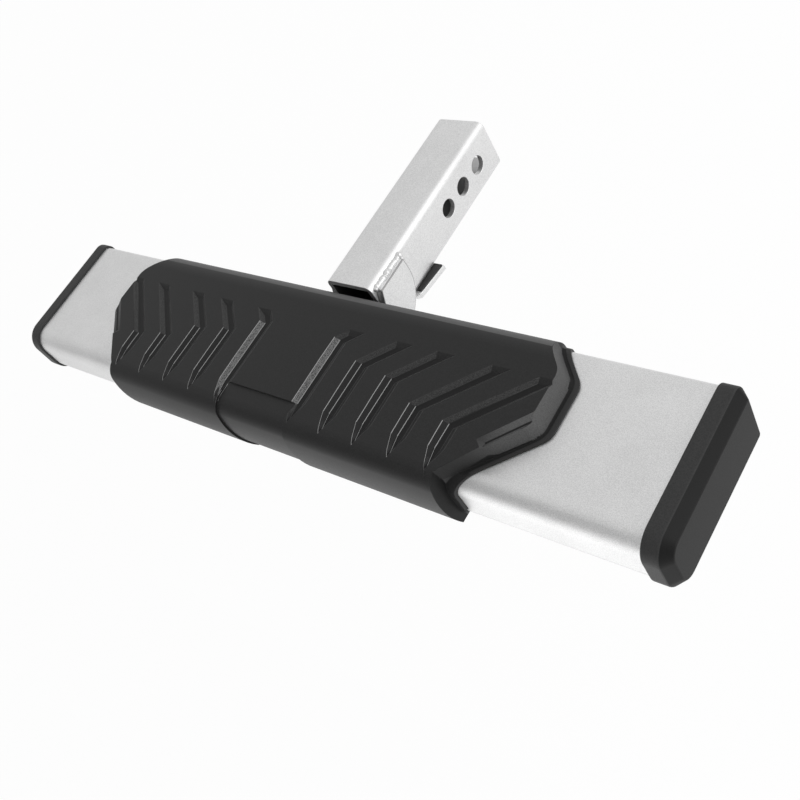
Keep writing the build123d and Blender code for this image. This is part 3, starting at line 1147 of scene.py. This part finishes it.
@dataclass
class WeldRun:
    """A rippled weld bead along a path: overlapping drops joined into one skin."""

    name: str
    node: str
    path: list[Vector]
    seed: int
    radius: float = 2.8 * MM
    pitch: float = 1.9 * MM
    jitter: float = 0.35 * MM
    sizes: Span = (0.85, 1.12)
    rounds: int = 2
    skin: float = 0.35 * MM
    skin_smoothing: float = 0.5
    smooth_angle: float = 80.0

    def build(self, workshop: Workshop) -> None:
        """Lay the drops along the path, join them and place the bead.

        Args:
            workshop: Where pieces are finished.
        """
        rng = random.Random(self.seed)
        mesh = bmesh.new()
        for spot in self._spots():
            shake = Vector(rng.uniform(-self.jitter, self.jitter) for _ in range(3))
            size = self.radius * rng.uniform(*self.sizes)
            bmesh.ops.create_icosphere(
                mesh, subdivisions=self.rounds, radius=size, matrix=Matrix.Translation(spot + shake)
            )
        workshop.place(self._skinned(mesh), self.name, self.node, Slot.WELD, self.smooth_angle)

    def _spots(self) -> list[Vector]:
        """Return points along the path.

        Returns:
            Points about one pitch apart, and the path's end.
        """
        spots: list[Vector] = []
        for start, stop in zip(self.path, self.path[1:]):
            count = max(1, round((stop - start).length / self.pitch))
            spots += [start.lerp(stop, step / count) for step in range(count)]
        return spots + [self.path[-1]]

    def _skinned(self, mesh: bmesh.types.BMesh) -> bmesh.types.BMesh:
        """Return the drops joined into one closed skin.

        Args:
            mesh: Overlapping drops, which are freed.

        Returns:
            A new mesh.
        """
        data = bpy.data.meshes.new(self.name + "_drops")
        mesh.to_mesh(data)
        mesh.free()
        holder = bpy.data.objects.new(self.name + "_drops", data)
        bpy.context.scene.collection.objects.link(holder)
        remesh = holder.modifiers.new("skin", "REMESH")
        remesh.mode = "VOXEL"
        remesh.voxel_size = self.skin
        graph = bpy.context.evaluated_depsgraph_get()
        joined = bpy.data.meshes.new_from_object(holder.evaluated_get(graph))
        skin = bmesh.new()
        skin.from_mesh(joined)
        bpy.data.objects.remove(holder)
        bpy.data.meshes.remove(data)
        bpy.data.meshes.remove(joined)
        bmesh.ops.smooth_vert(
            skin,
            verts=skin.verts,
            factor=self.skin_smoothing,
            use_axis_x=True,
            use_axis_y=True,
            use_axis_z=True,
        )
        return skin


@dataclass
class WeldSet:
    """All the weld beads of the bracket and the stop tab."""

    # Outline of a gusset, measured from the step tube's centre
    left_gusset_top: float = 17.5 * MM
    right_gusset_top: float = 22.0 * MM
    gusset_front: float = 77.0 * MM
    gusset_rear: float = 111.5 * MM
    gusset_back: float = 11.0 * MM
    gusset_thickness: float = 6.0 * MM
    sweep: float = 42.0 * MM
    foot_front: float = 72.0 * MM
    foot_rear: float = 90.0 * MM
    foot: float = -25.5 * MM
    # How the beads lie on it
    sink: float = 0.6 * MM
    foot_inset: float = 2.0 * MM
    bead_bottom: float = -12.0 * MM
    bead_rise: float = 1.2 * MM
    back_shares: tuple[float, ...] = (0.3, 0.6, 0.9)
    edge_seed: int = 3
    foot_seed: int = 9

    def build(self, workshop: Workshop) -> None:
        """Build every bead, place it and dress the stop tab's welds.

        Args:
            workshop: Where pieces are finished.
        """
        for hand in Hand:
            for place, path, seed in (
                ("gusset", self._edge_path(hand), self.edge_seed),
                ("foot", self._foot_path(hand), self.foot_seed),
            ):
                name = f"{hand.word}_{place}"
                WeldRun(f"{name}_bead", f"{name}_weld", path, seed + hand.value).build(workshop)
        workshop.dress_node("stop_tab_welds", Slot.WELD)

    def _spot(self, hand: Hand, out: float, y: float, z: float) -> Vector:
        """Return a frame point from a place measured at the step tube's centre."""
        return Vector((hand.value * out, BAR_Y + y, BAR_Z + z))

    def _edge_path(self, hand: Hand) -> list[Vector]:
        """Return the path round a gusset's upper and rear edges on the draw tube.

        Args:
            hand: Side of the step.

        Returns:
            Corners of the path.
        """
        out = SHANK_SIDE + self.sink
        rear = self.gusset_rear + self.bead_rise
        top = (self.left_gusset_top if hand is Hand.LEFT else self.right_gusset_top) + self.bead_rise
        path = [
            self._spot(hand, out, self.gusset_front, top),
            self._spot(hand, out, rear, top),
            self._spot(hand, out, rear, self.gusset_back),
        ]
        for share in self.back_shares:
            drop = self.gusset_back + (self.bead_bottom - self.gusset_back) * share
            path.append(self._spot(hand, out, self._back_edge(drop) + self.bead_rise, drop))
        return path

    def _back_edge(self, z: float) -> float:
        """Return where a gusset's swept rear edge lies at a height.

        Args:
            z: Height above the step tube's centre.

        Returns:
            Distance behind the step tube's centre, with the sweep taken as a parabola.
        """
        share = (self.gusset_back - z) / (self.gusset_back - self.foot)
        chord = self.gusset_rear + (self.foot_rear - self.gusset_rear) * share
        reach = math.hypot(self.gusset_rear - self.foot_rear, self.gusset_back - self.foot)
        sag = self.sweep - math.sqrt(self.sweep**2 - reach**2 / 4)
        return chord - sag * 4 * share * (1 - share)

    def _foot_path(self, hand: Hand) -> list[Vector]:
        """Return the path along a gusset's foot on the base plate.

        Args:
            hand: Side of the step.

        Returns:
            Both ends of the path.
        """
        out = SHANK_SIDE + self.gusset_thickness + self.sink
        return [
            self._spot(hand, out, self.foot_front + self.foot_inset, self.foot + self.sink),
            self._spot(hand, out, self.foot_rear - self.foot_inset, self.foot + self.sink),
        ]


# Studio


@dataclass(frozen=True)
class Lamp:
    """A soft square lamp: where it hangs, the point that it faces, its side and its watts."""

    name: str
    place: Point
    aim: Point
    size: float
    power: float

    def build(self) -> None:
        """Add the lamp."""
        light = bpy.data.lights.new(self.name, "AREA")
        light.shape = "SQUARE"
        light.size = self.size
        light.energy = self.power
        lamp = bpy.data.objects.new(self.name, light)
        lamp.location = self.place
        lamp.rotation_euler = (Vector(self.aim) - Vector(self.place)).to_track_quat("-Z", "Y").to_euler()
        bpy.context.scene.collection.objects.link(lamp)


@dataclass
class Studio:
    """Pale floor, soft light and the camera."""

    floor_drop: float = 0.32
    floor_size: float = 14.0
    floor_level: float = 0.9
    camera_place: Point = (0.58461, -0.46770, 0.56204)
    camera_turn: Point = (38.0904, 25.1869, 33.8661)
    lens: float = 47.095
    sensor: float = 36.0
    sky: float = 0.78
    glow_share: float = 0.94
    screen_place: Point = (-0.8, -1.4, 0.75)
    screen_size: float = 1.4
    screen_level: float = 0.4
    lamps: tuple[Lamp, ...] = (
        Lamp("key", (1.5, 0.7, 1.2), (0.0, -0.15, 0.0), 2.0, 11.0),
        Lamp("side", (1.9, 0.1, 0.3), (0.0, -0.15, 0.0), 1.0, 7.5),
        Lamp("low", (0.05, -0.45, -0.28), (0.05, -0.25, 0.1), 0.8, 1.2),
    )

    def build(self) -> None:
        """Build the whole studio."""
        self._floor()
        self._world()
        self._screen()
        for lamp in self.lamps:
            lamp.build()
        self._camera()
        bpy.context.scene.view_settings.view_transform = "Standard"

    def _floor(self) -> None:
        """Add the floor, which reads white and keeps a faint shadow."""
        mesh = bmesh.new()
        bmesh.ops.create_grid(mesh, x_segments=2, y_segments=2, size=self.floor_size / 2)
        bmesh.ops.translate(mesh, vec=(0, 0, -self.floor_drop), verts=mesh.verts)
        graph = ShaderGraph("floor_white")
        seen = self._seen(graph)
        matt = graph.node("ShaderNodeBsdfDiffuse", inputs={"Color": grey(self.floor_level)})
        glow = graph.node("ShaderNodeEmission", inputs={"Color": grey(1.0), "Strength": 1.0})
        mixed = graph.node("ShaderNodeMixShader", inputs={0: seen * self.glow_share, 1: matt, 2: glow})
        graph.node("ShaderNodeOutputMaterial", inputs={"Surface": mixed})
        floor = self._sheet(mesh, "floor", graph.material)

    def _screen(self) -> None:
        """Add a dim screen in front of the step, hidden from the camera, that rounded edges mirror."""
        mesh = bmesh.new()
        bmesh.ops.create_grid(mesh, x_segments=1, y_segments=1, size=self.screen_size / 2)
        facing = Vector((0.0, BAR_Y, 0.0)) - Vector(self.screen_place)
        turn = facing.to_track_quat("Z", "Y").to_matrix().to_4x4()
        bmesh.ops.transform(mesh, matrix=Matrix.Translation(self.screen_place) @ turn, verts=mesh.verts)
        graph = ShaderGraph("screen_grey")
        matt = graph.node("ShaderNodeBsdfDiffuse", inputs={"Color": grey(self.screen_level)})
        graph.node("ShaderNodeOutputMaterial", inputs={"Surface": matt})
        screen = self._sheet(mesh, "dim_screen", graph.material)
        screen.visible_camera = False

    @staticmethod
    def _sheet(mesh: bmesh.types.BMesh, name: str, material: bpy.types.Material) -> bpy.types.Object:
        """Make a flat sheet of the studio.

        Args:
            mesh: Mesh of the sheet, which is freed.
            name: Name of the sheet.
            material: Its material.

        Returns:
            The sheet.
        """
        data = bpy.data.meshes.new(name)
        mesh.to_mesh(data)
        mesh.free()
        data.materials.append(material)
        sheet = bpy.data.objects.new(name, data)
        bpy.context.scene.collection.objects.link(sheet)
        return sheet

    @staticmethod
    def _seen(graph: ShaderGraph) -> Socket:
        """Tell the rays that look at the background directly or by reflection.

        Args:
            graph: Tree of the background's material.

        Returns:
            1 for such a ray, else 0.
        """
        path = graph.node("ShaderNodeLightPath", output="Is Camera Ray")
        outputs = path.link.node.outputs
        glossy = Socket(graph, outputs["Is Glossy Ray"])
        through = Socket(graph, outputs["Is Transmission Ray"])
        return path.largest(glossy).largest(through)

    def _world(self) -> None:
        """Light the scene from an even pale sky."""
        world = bpy.data.worlds.new("studio_sky")
        world.use_nodes = True
        background = world.node_tree.nodes["Background"]
        background.inputs["Color"].default_value = grey(1.0)
        background.inputs["Strength"].default_value = self.sky
        bpy.context.scene.world = world

    def _camera(self) -> None:
        """Add the camera at the photograph's viewing angle."""
        data = bpy.data.cameras.new("product_camera")
        data.lens = self.lens
        data.sensor_width = self.sensor
        camera = bpy.data.objects.new("product_camera", data)
        camera.location = self.camera_place
        camera.rotation_euler = [math.radians(turn) for turn in self.camera_turn]
        bpy.context.scene.collection.objects.link(camera)
        bpy.context.scene.camera = camera


def main() -> None:
    """Build the step and its studio."""
    logging.basicConfig(level=logging.INFO)
    for leftover in list(bpy.data.objects):
        bpy.data.objects.remove(leftover)
    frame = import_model()
    workshop = Workshop(frame, Finishes())
    StepTube().build(workshop)
    EndCaps().build(workshop)
    TreadPad().build(workshop)
    SteelWork().build(workshop)
    WeldSet().build(workshop)
    Hardware().build(workshop)
    Studio().build()


if __name__ == "__main__":
    main()
